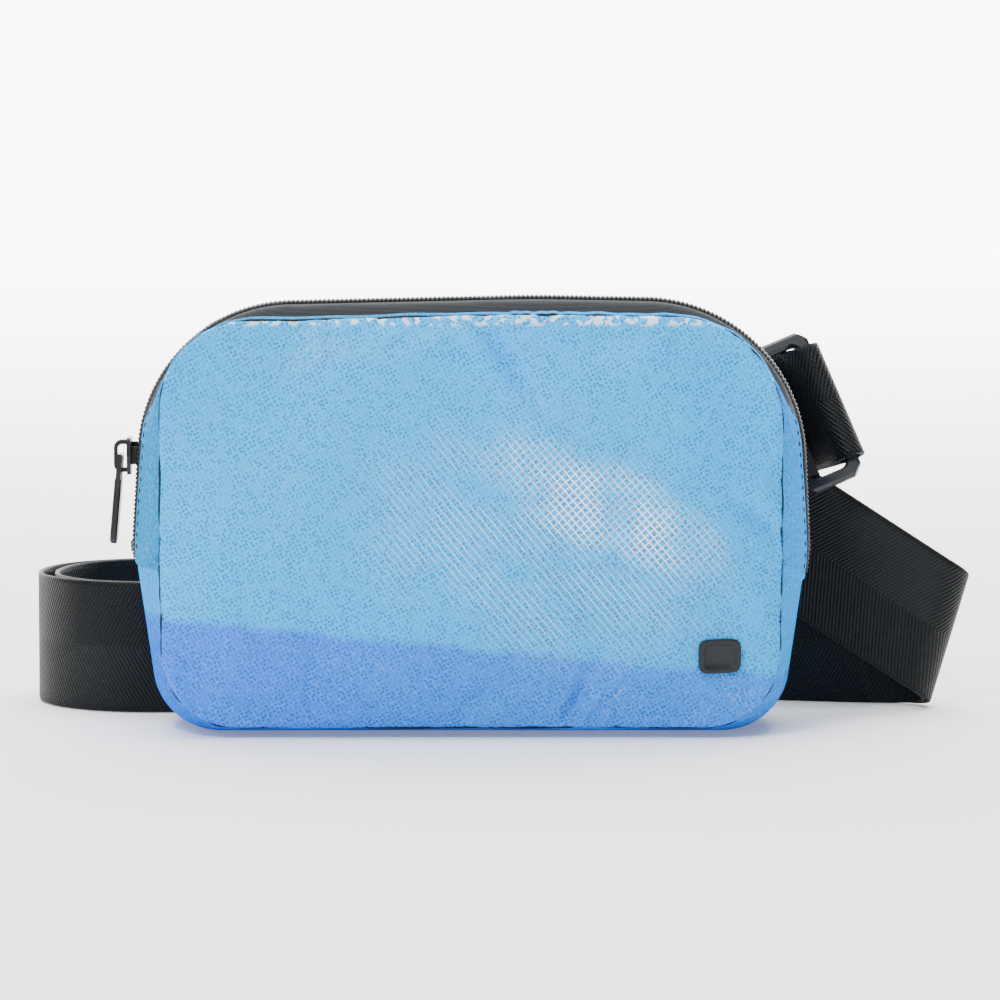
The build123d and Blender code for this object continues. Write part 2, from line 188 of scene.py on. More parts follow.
class Finish:
    """One material: a Principled shader and the nodes that feed it."""

    def __init__(self, name, **constants):
        self.material = bpy.data.materials.new(name)
        self.material.use_nodes = True
        self.tree = self.material.node_tree
        self.shader = self.tree.nodes["Principled BSDF"]
        for socket, value in constants.items():
            self.shader.inputs[socket.replace("_", " ")].default_value = value
        self.coordinates = self.node("ShaderNodeTexCoord")

    def node(self, kind, settings=None, **inputs):
        """New node with its settings put in first and then its sockets' values or links."""
        made = self.tree.nodes.new(kind)
        for key, value in (settings or {}).items():
            setattr(made, key, value)
        for key, value in inputs.items():
            slot = made.inputs[int(key[1:]) if key[0] == "i" and key[1:].isdigit() else key.replace("_", " ")]
            if isinstance(value, Value):
                self.tree.links.new(value.socket, slot)
            else:
                slot.default_value = value
        return made

    def out(self, node, name=0):
        return Value(self.tree, node.outputs[name])

    def axes(self, source="Object"):
        """The three coordinates of the object, or of its UV map."""
        split = self.node("ShaderNodeSeparateXYZ", Vector=self.out(self.coordinates, source))
        return [self.out(split, i) for i in range(3)]

    def joined(self, x, y, z):
        return self.out(self.node("ShaderNodeCombineXYZ", X=x, Y=y, Z=z))

    def noise(self, scale, detail=2.0, vector=None, roughness=0.5):
        vector = vector or self.out(self.coordinates, "Object")
        return self.out(self.node("ShaderNodeTexNoise", Vector=vector, Scale=scale, Detail=detail,
                                  Roughness=roughness), "Fac")

    def mix(self, factor, a, b):
        """Colour a where factor is 0 and b where it is 1."""
        return self.out(self.node("ShaderNodeMix", {"data_type": "RGBA"}, i0=factor, i6=a, i7=b), 2)

    def feed(self, socket, value):
        self.tree.links.new(value.socket, self.shader.inputs[socket])

    def bump(self, height, distance, strength=1.0):
        node = self.node("ShaderNodeBump", Height=height, Distance=distance, Strength=strength)
        self.tree.links.new(node.outputs["Normal"], self.shader.inputs["Normal"])


VINYL_PITCH = 1.75 * MM
DOT_PITCH = 1.16 * MM
# painted shade: each channel's share kept in the gusset's darker copy of the print
GUSSET_SKY_SHADE = (0.80, 0.92, 1.0)
GUSSET_LOWER_SHADE = (0.50, 0.72, 0.95)
NEAR_GLOW = (0.04, 0.04, 0.04, 1.0)
WHITE = (1.0, 1.0, 1.0, 1.0)


def colour_of(value):
    return tuple(value)


def scrim(x, z, pitch, angle):
    """Height of the reinforcing yarns: rounded ridges along one direction at a pitch."""
    across = x * (math.cos(angle) * 2 * math.pi / pitch) + z * (math.sin(angle) * 2 * math.pi / pitch)
    return (across.sine() * 0.5 + 0.5).power(3.0)


def shaded_print(colour, share):
    """A printed colour with each channel scaled: painted shade that makes the gusset darker than the front.
    """
    return tuple(channel * part for channel, part in zip(colour, share)) + (colour[3],)


def vinyl(name, upper, lower, flat, painted_highlights=False):
    """Printed banner vinyl: colour with small dots, yarn ridges, scuffs that are partly wear and partly
    painted glints.

    flat tells whether the print lies flat on a panel or goes round the gusset. The last flag adds
    painted highlights on the front: a whitened patch of lit yarn ridges and painted glints along its top
    edge.
    """
    finish = Finish(name, Specular_IOR_Level=0.06 if flat else 0.0, Coat_Roughness=0.2, Coat_IOR=1.45)
    x, y, z = finish.axes()
    first, second = (x, z) if flat else (y, z)
    waver = finish.noise(28.0, 2.0) * (6.0 * MM) - 3.0 * MM
    edge = (z + x * 0.0895 + waver).step(24.6 * MM, 28.0 * MM)
    cloud = finish.noise(16.0, 3.0).step(0.30, 0.72)
    shown = colour_of(upper)
    if not flat:
        shown = finish.mix(x.step(-36 * MM, 30 * MM), colour_of(colours().teal), shown)
        shown = finish.mix(z.step(46.5 * MM, 47.5 * MM), colour_of(upper), shown)
    base = finish.mix(edge, colour_of(lower), shown)
    # painted shade: below, the gusset's colour is pulled 30 to 55 percent towards a deep blue
    if not flat:
        base = finish.mix(0.30 + finish.noise(40.0, 2.0) * 0.25, base, (0.0, 0.160, 0.620, 1.0))
    shade = finish.noise(13.0, 2.0).step(0.40, 0.68)
    base = finish.mix(shade * 0.22, base, (0.0, 0.230, 0.620, 1.0))
    pale = finish.mix(cloud * 0.10, base, (0.06, 0.66, 1.0, 1.0))
    grain = finish.joined(first * 0.883 + second * 0.469, second * 0.883 - first * 0.469, 0.0 if flat else x)
    cells = {"voronoi_dimensions": "2D" if flat else "3D", "feature": "F1"}
    voronoi = finish.node("ShaderNodeTexVoronoi", cells, Vector=grain, Scale=1.0 / DOT_PITCH, Randomness=0.50)
    dot = finish.out(voronoi, "Distance").step(0.44, 0.20)
    patch = 0.35 + finish.noise(330.0, 2.0).step(0.35, 0.62) * 0.65
    between = finish.noise(900.0, 1.0).step(0.50, 0.66) * (1.0 - dot)
    flecked = finish.mix(between * 0.35, pale, (0.10, 0.42, 1.0, 1.0))
    dotted = finish.mix(dot * patch * 0.62, flecked, colour_of(colours().dots))
    one = scrim(first, second, VINYL_PITCH, math.radians(40.0))
    two = scrim(first, second, VINYL_PITCH, math.radians(-48.0))
    yarn = one.larger(two)

    def patch_at(cx, cz, half_x, half_z, lean):
        """1 in the middle of an ellipse and 0 from its rim outwards."""
        c, s = math.cos(math.radians(lean)), math.sin(math.radians(lean))
        along_it = ((x - cx * MM) * c + (z - cz * MM) * s) * (1000.0 / half_x)
        off_it = ((z - cz * MM) * c - (x - cx * MM) * s) * (1000.0 / half_z)
        return (along_it * along_it + off_it * off_it).step(1.0, 0.0)

    # scuffs along the yarn ridges: partly real wear, partly painted glints of lit ridges; both whiten the
    # colour
    rubbed = finish.noise(34.0, 3.0).step(0.60, 0.76) * yarn.step(0.70, 0.98)
    fleck = finish.noise(620.0, 1.0).step(0.48, 0.60)
    scuffs_and_painted_glints = rubbed * fleck * 0.3
    # painted highlight: a whitened patch of yarn ridges where the front's gloss would catch the light, and
    # painted glints along its lit top edge
    if painted_highlights:
        blotch = finish.noise(70.0, 3.0).step(0.30, 0.62)
        wide = patch_at(20.0, 55.0, 66.0, 38.0, -18.0) * blotch
        core = patch_at(36.0, 66.0, 44.0, 15.0, -24.0) * (0.25 + blotch * 0.75)
        lines = one.step(0.45, 0.95) * wide * 0.42 + yarn.step(0.35, 0.90) * core * 0.85
        glints = z.step(115.2 * MM, 116.6 * MM) * finish.noise(420.0, 2.0).step(0.50, 0.57)
        scuffs_and_painted_glints = scuffs_and_painted_glints.larger(lines).larger(glints * 0.75)
    # the scuffs and the painted highlights are mixed into the colour as a pale blue-white
    scuffed_and_highlit = finish.mix(scuffs_and_painted_glints, dotted, (0.86, 0.97, 1.0, 1.0))
    finish.feed("Base Color", scuffed_and_highlit)
    finish.feed("Roughness", 0.33 + finish.noise(90.0, 2.0) * 0.16 - rubbed * 0.12)
    finish.feed("Coat Weight", 0.01 + cloud * 0.03)
    crumple = finish.noise(120.0, 3.0) * 0.55 + finish.noise(45.0, 2.0) * 1.2
    finish.bump(yarn * 0.10 + crumple * 0.5 + finish.noise(1500.0, 1.0) * 0.03, 0.55 * MM, 0.75)
    return finish.material


def webbing(name):
    """Ribbed webbing: fine ribs across it that lean a little and change way at its middle line."""
    finish = Finish(name, Specular_IOR_Level=0.16)
    u, v, _ = finish.axes("UV")
    rib = ((v - abs(u) * 0.55) * (2 * math.pi / (1.15 * MM))).sine() * 0.5 + 0.5
    yarn = (u * (2 * math.pi / (0.95 * MM))).sine() * 0.5 + 0.5
    selvedge = abs(u).step(17.4 * MM, 18.1 * MM)
    weave = rib * (0.55 + yarn * 0.45) * (1.0 - selvedge * 0.6)
    tone = finish.noise(60.0, 3.0)
    dark = finish.mix(weave, (0.002, 0.0025, 0.003, 1.0), colour_of(colours().webbing))
    finish.feed("Base Color", finish.mix(weave * tone * 0.5, dark, (0.022, 0.025, 0.026, 1.0)))
    finish.feed("Roughness", 0.44 + tone * 0.14)
    finish.bump(weave, 0.30 * MM, 0.85)
    return finish.material


def plain_weave(name, colour, pitch, roughness):
    """Small over-and-under weave in the object's own coordinates."""
    finish = Finish(name, Specular_IOR_Level=0.15)
    x, y, z = finish.axes()
    turn = 2 * math.pi / pitch
    weave = ((x + y * 0.6 + z) * turn).sine() * ((x - z + y * 1.7) * turn).sine() * 0.5 + 0.5
    tone = finish.noise(140.0, 3.0)
    darker = tuple(0.45 * c for c in colour[:3]) + (1.0,)
    finish.feed("Base Color", finish.mix(weave * 0.7 + tone * 0.3, darker, colour))
    finish.feed("Roughness", roughness + tone * 0.12)
    finish.bump(weave, 0.16 * MM, 0.6)
    return finish.material


def moulded(name, colour, roughness, coat=0.0, metallic=0.0):
    """Smooth moulded or painted part with a fine grain, faint mottling and rubbed high spots."""
    finish = Finish(name, Metallic=metallic, Coat_Roughness=0.2, Specular_IOR_Level=0.3)
    tone = finish.noise(420.0, 4.0)
    rubbed = finish.noise(70.0, 3.0).step(0.58, 0.75)
    lighter = tuple(min(1.0, c * 2.4 + 0.012) for c in colour[:3]) + (1.0,)
    finish.feed("Base Color", finish.mix(rubbed * 0.5 + tone * 0.2, colour, lighter))
    finish.feed("Roughness", roughness + tone * 0.14 - rubbed * 0.05)
    finish.feed("Coat Weight", coat + rubbed * 0.08)
    finish.bump(tone, 0.06 * MM, 0.4)
    return finish.material


def glowing_floor(name):
    """Pale floor with the faintest grain and a painted glow, faint near the bag and full white far behind it.
    """
    finish = Finish(name, Specular_IOR_Level=0.0, Emission_Strength=5.5)
    tone = finish.noise(900.0, 2.0)
    # painted glow: the floor glows faintly near the bag and in front of it, rising to full white about 2 m
    # behind it
    far = finish.axes()[1].step(0.05, 2.2)
    finish.feed("Emission Color", finish.mix(far, NEAR_GLOW, WHITE))
    finish.feed("Base Color", finish.mix(tone, (0.93, 0.93, 0.93, 1.0), (0.96, 0.96, 0.96, 1.0)))
    finish.feed("Roughness", 0.86 + tone * 0.08)
    return finish.material


def lit_wall(name):
    """Evenly lit white backdrop with the faintest mottling."""
    finish = Finish(name, Roughness=0.9, Emission_Strength=6.0)
    tone = finish.noise(2.0, 2.0)
    finish.feed("Emission Color", finish.mix(tone, (0.97, 0.97, 0.97, 1.0), WHITE))
    return finish.material


MATERIALS = {}


def material(key):
    """Each finish is made once, the first time a piece asks for it."""
    shades = colours()
    recipes = {
        "vinyl_front": lambda: vinyl("vinyl_front", shades.sky, shades.lower, True, painted_highlights=True),
        "vinyl_back": lambda: vinyl("vinyl_back", shades.sky, shades.lower, True),
        "vinyl_gusset": lambda: vinyl("vinyl_gusset", shaded_print(shades.sky, GUSSET_SKY_SHADE),
                                      shaded_print(shades.lower, GUSSET_LOWER_SHADE), False),
        "webbing": lambda: webbing("webbing"),
        "tape": lambda: plain_weave("zip_tape", (0.030, 0.033, 0.036, 1.0), 0.9 * MM, 0.62),
        "tab": lambda: plain_weave("tab_webbing", (0.020, 0.022, 0.024, 1.0), 1.3 * MM, 0.55),
        "binding": lambda: plain_weave("binding", (0.035, 0.036, 0.040, 1.0), 1.0 * MM, 0.70),
        "lining": lambda: plain_weave("lining", (0.100, 0.115, 0.130, 1.0), 0.8 * MM, 0.60),
        "thread": lambda: plain_weave("thread", (0.012, 0.020, 0.030, 1.0), 0.5 * MM, 0.55),
        "coil": lambda: moulded("coil", (0.020, 0.022, 0.024, 1.0), 0.36, 0.1),
        "metal": lambda: moulded("painted_metal", (0.006, 0.007, 0.008, 1.0), 0.26, 0.0),
        "plastic": lambda: moulded("ring_plastic", (0.016, 0.018, 0.020, 1.0), 0.34, 0.15),
        "rubber": lambda: moulded("badge_rubber", (0.012, 0.013, 0.015, 1.0), 0.46),
        "floor": lambda: glowing_floor("floor"),
        "backdrop": lambda: lit_wall("backdrop"),
    }
    if key not in MATERIALS:
        MATERIALS[key] = recipes[key]()
    return MATERIALS[key]


# ------------------------------------------------------------------ surfaces


def surface(name, points, finish, loop_rows=False, loop_columns=False, flip=False, uv=None, capped=False):
    """Mesh on a grid of points: each face joins four neighbours, and a looped side joins its ends.

    Capped closes the first and the last row with one face each. uv gives two numbers a point.
    """
    rows, columns = points.shape[:2]
    index = np.arange(rows * columns).reshape(rows, columns)
    if loop_rows:
        index = np.vstack([index, index[:1]])
    if loop_columns:
        index = np.hstack([index, index[:, :1]])
    quads = np.stack([index[:-1, :-1], index[1:, :-1], index[1:, 1:], index[:-1, 1:]], axis=-1).reshape(-1, 4)
    faces = (quads[:, ::-1] if flip else quads).tolist()
    if capped:
        first, last = np.arange(columns), np.arange(columns) + (rows - 1) * columns
        ends = [first.tolist(), last[::-1].tolist()]
        faces += [end[::-1] for end in ends] if flip else ends
    mesh = bpy.data.meshes.new(name)
    mesh.from_pydata(points.reshape(-1, 3), [], faces)
    if uv is not None:
        layer = mesh.uv_layers.new(name="flat")
        corner = np.empty(len(mesh.loops), dtype=np.int32)
        mesh.loops.foreach_get("vertex_index", corner)
        layer.data.foreach_set("uv", uv.reshape(-1, 2)[corner].ravel())
    mesh.shade_smooth()
    piece = bpy.data.objects.new(name, mesh)
    bpy.context.scene.collection.objects.link(piece)
    mesh.materials.append(material(finish))
    return piece


def thicken(piece, thickness, inwards=True):
    """Gives an open surface its thickness, on the side away from its normals."""
    solid = piece.modifiers.new("thickness", "SOLIDIFY")
    solid.thickness = thickness
    solid.offset = -1.0 if inwards else 1.0
    solid.use_even_offset = False
    return piece


def smooth_step(x, low, high):
    """0 below low, 1 above high, with the curve 3t^2 - 2t^3 between."""
    t = np.clip((x - low) / (high - low), 0.0, 1.0)
    return t * t * (3 - 2 * t)


def hump(x, centre, width):
    """Bell curve of height 1."""
    return np.exp(-((x - centre) / width) ** 2)


# ------------------------------------------------------------------ bag outline

panel_low, panel_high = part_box("front_panel_lower")[0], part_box("front_panel_upper")[1]
gusset_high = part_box("lower_gusset")[1]
zip_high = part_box("rear_zip_strip")[1]
SEAM_HALF = panel_high.x - 1.0 * MM
CREST_HALF = gusset_high.x + 0.6 * MM
DEPTH = gusset_high.y
SEAM_LOW = panel_low.z + 0.4 * MM
SEAM_TOP = panel_high.z - 1.8 * MM
CREST_TOP = zip_high.z + 0.2 * MM
ARC_STEPS, SIDE_STEPS = 36, 24


def rounded(corners):
    """Closed outline through rounded corners, each a point and a radius.

    At each corner the arc touches both sides: its ends lie radius / tan(half the angle) from the
    corner and its centre radius / sin(half the angle) along the bisector. The straight stretch
    to the next corner follows. The counts never change, so two outlines pair point by point.
    """
    spots = np.array([corner[:2] for corner in corners])
    pieces = []
    for i, (_, _, radius) in enumerate(corners):
        before, here, after = spots[i - 1], spots[i], spots[(i + 1) % len(spots)]
        u = (before - here) / np.linalg.norm(before - here)
        v = (after - here) / np.linalg.norm(after - here)
        half = math.acos(np.clip(u @ v, -1, 1)) / 2
        bisector = (u + v) / np.linalg.norm(u + v)
        centre = here + bisector * radius / math.sin(half)
        start, end = here + u * radius / math.tan(half), here + v * radius / math.tan(half)
        a, b = np.arctan2(*(start - centre)[::-1]), np.arctan2(*(end - centre)[::-1])
        sweep = (b - a + math.pi) % (2 * math.pi) - math.pi
        angle = a + sweep * np.linspace(0, 1, ARC_STEPS)
        pieces.append(centre + radius * np.stack([np.cos(angle), np.sin(angle)], axis=-1))
    outline = []
    for i, arc in enumerate(pieces):
        start, end = arc[-1], pieces[(i + 1) % len(pieces)][0]
        share = np.linspace(0, 1, SIDE_STEPS + 2)[1:-1, None]
        outline += [arc, start + (end - start) * share]
    return np.vstack(outline)


def bag_corners(bottom, middle, left_top, right_top, low, high, radii):
    """Corners of an outline, anticlockwise from the bottom right, with its softer left shoulder."""
    bottom_r, left_r, right_r = radii
    wide_z = 50 * MM
    return [
        (bottom, low, bottom_r),
        (middle, wide_z, 60 * MM),
        (right_top, high - 1.4 * MM, right_r),
        (18 * MM, high, 400 * MM),
        (-left_top, high - 2.4 * MM, left_r),
        (-middle, wide_z, 60 * MM),
        (-bottom, low, bottom_r),
    ]


SEAM = rounded(bag_corners(SEAM_HALF - 1.0 * MM, SEAM_HALF, SEAM_HALF - 0.6 * MM, SEAM_HALF,
                           SEAM_LOW, SEAM_TOP, (21 * MM, 25 * MM, 30 * MM)))
CREST = rounded(bag_corners(CREST_HALF - 7.4 * MM, CREST_HALF, CREST_HALF - 4.3 * MM, CREST_HALF - 3.4 * MM,
                            0.0, CREST_TOP, (18 * MM, 43 * MM, 45 * MM)))
COUNT = len(SEAM)


def along(outline, index):
    """Point of the closed outline at a running index that may have a fraction."""
    ring = np.vstack([outline, outline[:1]])
    steps = np.arange(COUNT + 1)
    wrapped = np.mod(index, COUNT)
    return np.stack([np.interp(wrapped, steps, ring[:, k]) for k in (0, 1)], axis=-1)


def index_at(side, height):
    """Running index where the crest passes a height on the right (1) or the left (-1) side."""
    steps = np.arange(COUNT)
    chosen = (CREST[:, 0] * side > 0.05) & (CREST[:, 1] > 25 * MM) & (CREST[:, 1] < 75 * MM)
    order = np.argsort(CREST[chosen, 1])
    return float(np.interp(height, CREST[chosen, 1][order], steps[chosen][order]))


LEFT_END_Z, RIGHT_END_Z = 48.0 * MM, 43.5 * MM
START, END = index_at(1, RIGHT_END_Z), index_at(-1, LEFT_END_Z)


def even_steps(first, last, count):
    """Running indices from first to last, spaced evenly in length along the crest."""
    fine = np.linspace(first, last, 2400)
    spots = along(CREST, fine)
    length = np.concatenate([[0], np.cumsum(np.linalg.norm(np.diff(spots, axis=0), axis=1))])
    return np.interp(np.linspace(0, length[-1], count), length, fine), length[-1]


def outward(index):
    """Unit normal of the crest, pointing out of the bag."""
    step = 0.6
    tangent = along(CREST, index + step) - along(CREST, index - step)
    tangent /= np.linalg.norm(tangent, axis=-1, keepdims=True)
    return np.stack([tangent[..., 1], -tangent[..., 0]], axis=-1)


def gusset(index, depth, lift=0.0):
    """Gusset surface: from the seam outline at the front and rear it swells to the crest.

    The share of the crest is 1 - (depth / half depth)^2, so the section is barrel shaped. Along
    the top each side sinks by the dip times sin^2 of the way from beside the coil to the seam.
    lift moves the surface out along its normal.
    """
    index, depth = np.broadcast_arrays(index, depth)
    way = np.clip(np.abs(depth) / DEPTH, 0, 1)
    share = (1 - way ** 2)[..., None]
    seam, crest = along(SEAM, index), along(CREST, index)
    flat = seam + (crest - seam) * share
    on_top = smooth_step(crest[..., 1], 84 * MM, 104 * MM)
    dip = sizes().top_dip * on_top * np.sin(math.pi * np.clip(way / 0.8 - 0.25, 0, 1) ** 0.9) ** 2
    normal = outward(index)
    ripple = np.sin(index * 0.61) * np.sin(index * 0.233 + depth * 160)
    pucker = 0.22 * MM * ripple * smooth_step(way, 0.35, 1.0)
    flat = flat + normal * (lift - dip + pucker)[..., None]
    low = np.maximum(flat[..., 1], 0.35 * MM + 0.0 * flat[..., 1])
    return np.stack([flat[..., 0], depth, low], axis=-1)


# ------------------------------------------------------------------ panels

# each crease's middle x and z, its lean in degrees, its half length, half width and depth
CREASES = (
    (9, 107, -57, 17, 3.4, 1.9),
    (2, 110, -52, 13, 3.0, -0.9),
    (21, 117, -100, 5, 1.8, 1.0),
    (-40, 115, -75, 6, 2.2, 0.5),
    (29, 10, 66, 10, 2.4, 1.6),
    (34, 10, 55, 6, 2.0, -0.6),
    (2, 12, 20, 6, 2.6, 0.9),
    (-44, 9, 100, 5, 2.0, 0.7),
    (-82, 57, 25, 9, 3.0, 1.5),
    (83, 61, -32, 9, 2.8, 1.6),
    (80, 30, -40, 8, 2.4, 0.6),
)


def wrinkles(x, z):
    """Creases of the front panel: short valleys that run in from its edge, and broad soft waves."""
    total = 0.0
    for x0, z0, lean, length, width, depth in CREASES:
        c, s = math.cos(math.radians(lean)), math.sin(math.radians(lean))
        run = (x - x0 * MM) * c + (z - z0 * MM) * s
        off = -(x - x0 * MM) * s + (z - z0 * MM) * c
        total = total + depth * MM * hump(run, 0, length * MM) * hump(off, 0, width * MM)
    waves = np.sin(x * 62 + z * 25) * np.sin(z * 71 - x * 18 + 1.3)
    return 1.8 * total + 0.70 * MM * waves + 0.25 * MM * np.sin(x * 150 + 2) * np.sin(z * 130 + x * 40)


GRID_ACROSS, GRID_UP = 190, 120


def panel_points(outward_y, puff, edge_roll, inset=0.0, detail=True, share=1.0):
    """Stuffed panel: a grid stretched between the four sides of the seam outline.

    The sides meet at the middles of the rounded corners, and a point inside is the sum of the
    two straight blends between opposite sides less the blend between the four corners. With U
    and V from -1 to 1 across and up, its depth is puff * ((1 - |U|^3.4)(1 - |V|^3.0))^0.75, so it
    is flat in the middle and rolls back to the seam at its edge.
    """
    across, up = int(GRID_ACROSS * share), int(GRID_UP * share)
    middle = ARC_STEPS / 2
    step = ARC_STEPS + SIDE_STEPS
    corner = [middle, middle + 2 * step, middle + 4 * step, middle + 6 * step]

    def side(first, last, count):
        fine = np.linspace(first, last, 1500)
        spots = along(SEAM, fine)
        length = np.concatenate([[0], np.cumsum(np.linalg.norm(np.diff(spots, axis=0), axis=1))])
        return along(SEAM, np.interp(np.linspace(0, length[-1], count), length, fine))

    right = side(corner[0], corner[1], up)
    top = side(corner[1], corner[2], across)[::-1]
    left = side(corner[2], corner[3], up)[::-1]
    bottom = side(corner[3], corner[0] + COUNT, across)
    u, v = np.linspace(0, 1, across)[:, None, None], np.linspace(0, 1, up)[None, :, None]
    flat = ((1 - v) * bottom[:, None] + v * top[:, None] + (1 - u) * left[None] + u * right[None]
            - (1 - u) * (1 - v) * bottom[0] - u * (1 - v) * bottom[-1]
            - (1 - u) * v * top[0] - u * v * top[-1])
    centre = np.array([0.0, 62 * MM])
    flat = centre + (flat - centre) * (1 - inset / np.array([88 * MM, 60 * MM]))
    far_u, far_v = np.abs(2 * u[..., 0] - 1), np.abs(2 * v[..., 0] - 1)
    rise = puff * ((1 - far_u ** 3.4) * (1 - far_v ** 3.0)) ** 0.75
    rise = rise + edge_roll * (1 - far_u ** 40) * (1 - far_v ** 28)
    x, z = flat[..., 0], flat[..., 1]
    if detail:
        rise = rise - wrinkles(x, z) * (1 - far_u ** 14) * (1 - far_v ** 12)
        edge = hump(far_v, 0.95, 0.035) * np.sin(x * 230) * np.sin(x * 61 + 1)
        edge = edge + hump(far_u, 0.965, 0.025) * np.sin(z * 240) * np.sin(z * 70 + 2)
        rise = rise + 0.30 * MM * edge
    return np.stack([x, outward_y * (DEPTH + rise), z], axis=-1)


def cloth_settle(piece, steps, cap):
    """Blows the panel up a little as cloth held at its rim, so that it creases by itself."""
    held = piece.vertex_groups.new(name="rim")
    grid = np.arange(len(piece.data.vertices)).reshape(GRID_ACROSS, GRID_UP)
    rim = np.concatenate([grid[0], grid[-1], grid[:, 0], grid[:, -1]])
    held.add(rim.tolist(), 1.0, "REPLACE")
    before = np.empty(len(piece.data.vertices) * 3)
    piece.data.vertices.foreach_get("co", before)
    cloth = piece.modifiers.new("cloth", "CLOTH")
    cloth.settings.quality = 6
    cloth.settings.mass = 0.3
    cloth.settings.tension_stiffness = 40
    cloth.settings.compression_stiffness = 40
    cloth.settings.shear_stiffness = 20
    cloth.settings.bending_stiffness = 1.2
    cloth.settings.use_pressure = True
    cloth.settings.uniform_pressure_force = 3.0
    cloth.settings.shrink_min = -0.012
    cloth.settings.vertex_group_mass = "rim"
    cloth.settings.effector_weights.gravity = 0.0
    cloth.point_cache.frame_start, cloth.point_cache.frame_end = 1, steps
    scene = bpy.context.scene
    for step in range(1, steps + 1):
        scene.frame_set(step)
    settled = piece.evaluated_get(bpy.context.evaluated_depsgraph_get())
    after = np.empty(len(before))
    settled.data.vertices.foreach_get("co", after)
    piece.modifiers.remove(cloth)
    scene.frame_set(1)
    move = (after - before).reshape(-1, 3)
    size = np.linalg.norm(move, axis=1, keepdims=True)
    move *= np.minimum(1.0, cap / np.maximum(size, 1e-9))
    piece.data.vertices.foreach_set("co", (before.reshape(-1, 3) + move).ravel())
    piece.vertex_groups.clear()
    piece.data.update()


def over_mouth(piece):
    """Bakes the piece's placement into its mesh."""
    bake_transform(piece)


class BELTBAG_OT_front_panel(bpy.types.Operator):
    """Front panel and the lining behind it"""
    bl_idname = "beltbag.front_panel"
    bl_label = "Front panel"

    def execute(self, context):
        points = panel_points(-1, sizes().puff, 0.9 * MM)
        piece = surface("front_panel", points, "vinyl_front", flip=True)
        cloth_settle(piece, 20, 3.0 * MM)
        thicken(piece, 0.5 * MM)
        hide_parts("front_panel_upper", "front_panel_lower")
        over_mouth(piece)
        inner = panel_points(-1, 0.6 * MM, 0.0, inset=1.8 * MM, detail=False, share=0.5)
        inner[..., 1] += 0.9 * MM
        lining = surface("front_lining", inner, "lining")
        thicken(lining, 0.3 * MM)
        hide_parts("front_lining_upper", "front_lining_lower")
        over_mouth(lining)
        return {"FINISHED"}


class BELTBAG_OT_back_panel(bpy.types.Operator):
    """Back panel"""
    bl_idname = "beltbag.back_panel"
    bl_label = "Back panel"

    def execute(self, context):
        points = panel_points(1, sizes().rear_puff, 0.3 * MM, detail=False)
        wave = 0.25 * MM * np.sin(points[..., 0] * 70) * np.sin(points[..., 2] * 66 + 0.7)
        points[..., 1] += wave * np.minimum(1, (points[..., 1] - DEPTH) / MM)
        piece = surface("back_panel_cloth", points, "vinyl_back")
        thicken(piece, 0.5 * MM)
        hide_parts("back_panel")
        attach(piece, "bag")
        return {"FINISHED"}


# ------------------------------------------------------------------ gusset and zip

EDGE_ROLL = 0.7 * MM


def tape_edge(index):
    """Depth where the strip ends and the tape shows: it widens from the zip's ends to the top."""
    height = along(CREST, index)[..., 1]
    return (8.4 + 6.4 * smooth_step(height, 56 * MM, 98 * MM)) * MM


def strip_points(side, first, last, rows):
    """Vinyl strip beside the zip: from the seam to a folded edge that rolls down on to the tape."""
    index, _ = even_steps(first, last, rows)
    way = np.linspace(0, 1, 26)
    depth = DEPTH + (tape_edge(index)[:, None] - DEPTH) * np.minimum(1, way * 1.12)
    roll = np.clip((way - 0.86) / 0.14, 0, 1)
    lift = 0.55 * MM - EDGE_ROLL * 1.5 * roll ** 2 + 0.25 * MM * hump(way, 0.83, 0.05)
    fade = smooth_step(way, 0.0, 0.12)
    return gusset(index[:, None], side * depth, (lift * fade)[None, :]), index


class BELTBAG_OT_zip_strips(bpy.types.Operator):
    """Vinyl strips beside the zip, in front of it and behind it"""
    bl_idname = "beltbag.zip_strips"
    bl_label = "Zip strips"

    def execute(self, context):
        for name, side, node in (("front", -1, "front_zip_strip"), ("rear", 1, "rear_zip_strip")):
            points, _ = strip_points(side, START, END, 420)
            piece = surface(f"{name}_strip", points, "vinyl_gusset", flip=side > 0)
            thicken(piece, 0.5 * MM)
            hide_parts(node)
            if side < 0:
                over_mouth(piece)
            else:
                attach(piece, "bag")
        return {"FINISHED"}


def tape_points(side, rows):
    """Zip tape: it starts under the strip's edge and rises to the coil."""
    index, _ = even_steps(START + 1.0, END - 1.0, rows)
    edge = tape_edge(index)[:, None]
    depth = 0.35 * MM + (edge + 1.65 * MM) * np.linspace(1, 0, 16)
    lift = -0.55 * MM + 0.5 * MM * smooth_step(-depth, -edge, -2.5 * MM)
    return gusset(index[:, None], side * depth, lift)


def coil_points(side, pitch):
    """Coil half: a tube whose radius swells once a turn, with the swelling slanted round it."""
    _, length = even_steps(START, END, 10)
    turns = int(length / pitch)
    rows = turns * 6
    index, _ = even_steps(START + 1.5, END - 1.5, rows)
    spot = np.linspace(0, turns, rows)[:, None]
    angle = np.linspace(0, 2 * math.pi, 13)[:-1][None, :]
    swell = 0.5 + 0.5 * np.cos(2 * math.pi * spot + angle * side)
    radius = 0.62 * MM + 0.42 * MM * swell ** 0.7
    centre = gusset(index, np.full(rows, side * 1.05 * MM), np.full(rows, 0.55 * MM))
    normal = outward(index)
    out = np.stack([normal[:, 0], np.zeros(rows), normal[:, 1]], axis=-1)
    wide = 1.35
    ring = out[:, None, :] * (radius * np.cos(angle))[..., None]
    ring[..., 1] += side * wide * radius * np.sin(angle)
    return centre[:, None, :] + ring


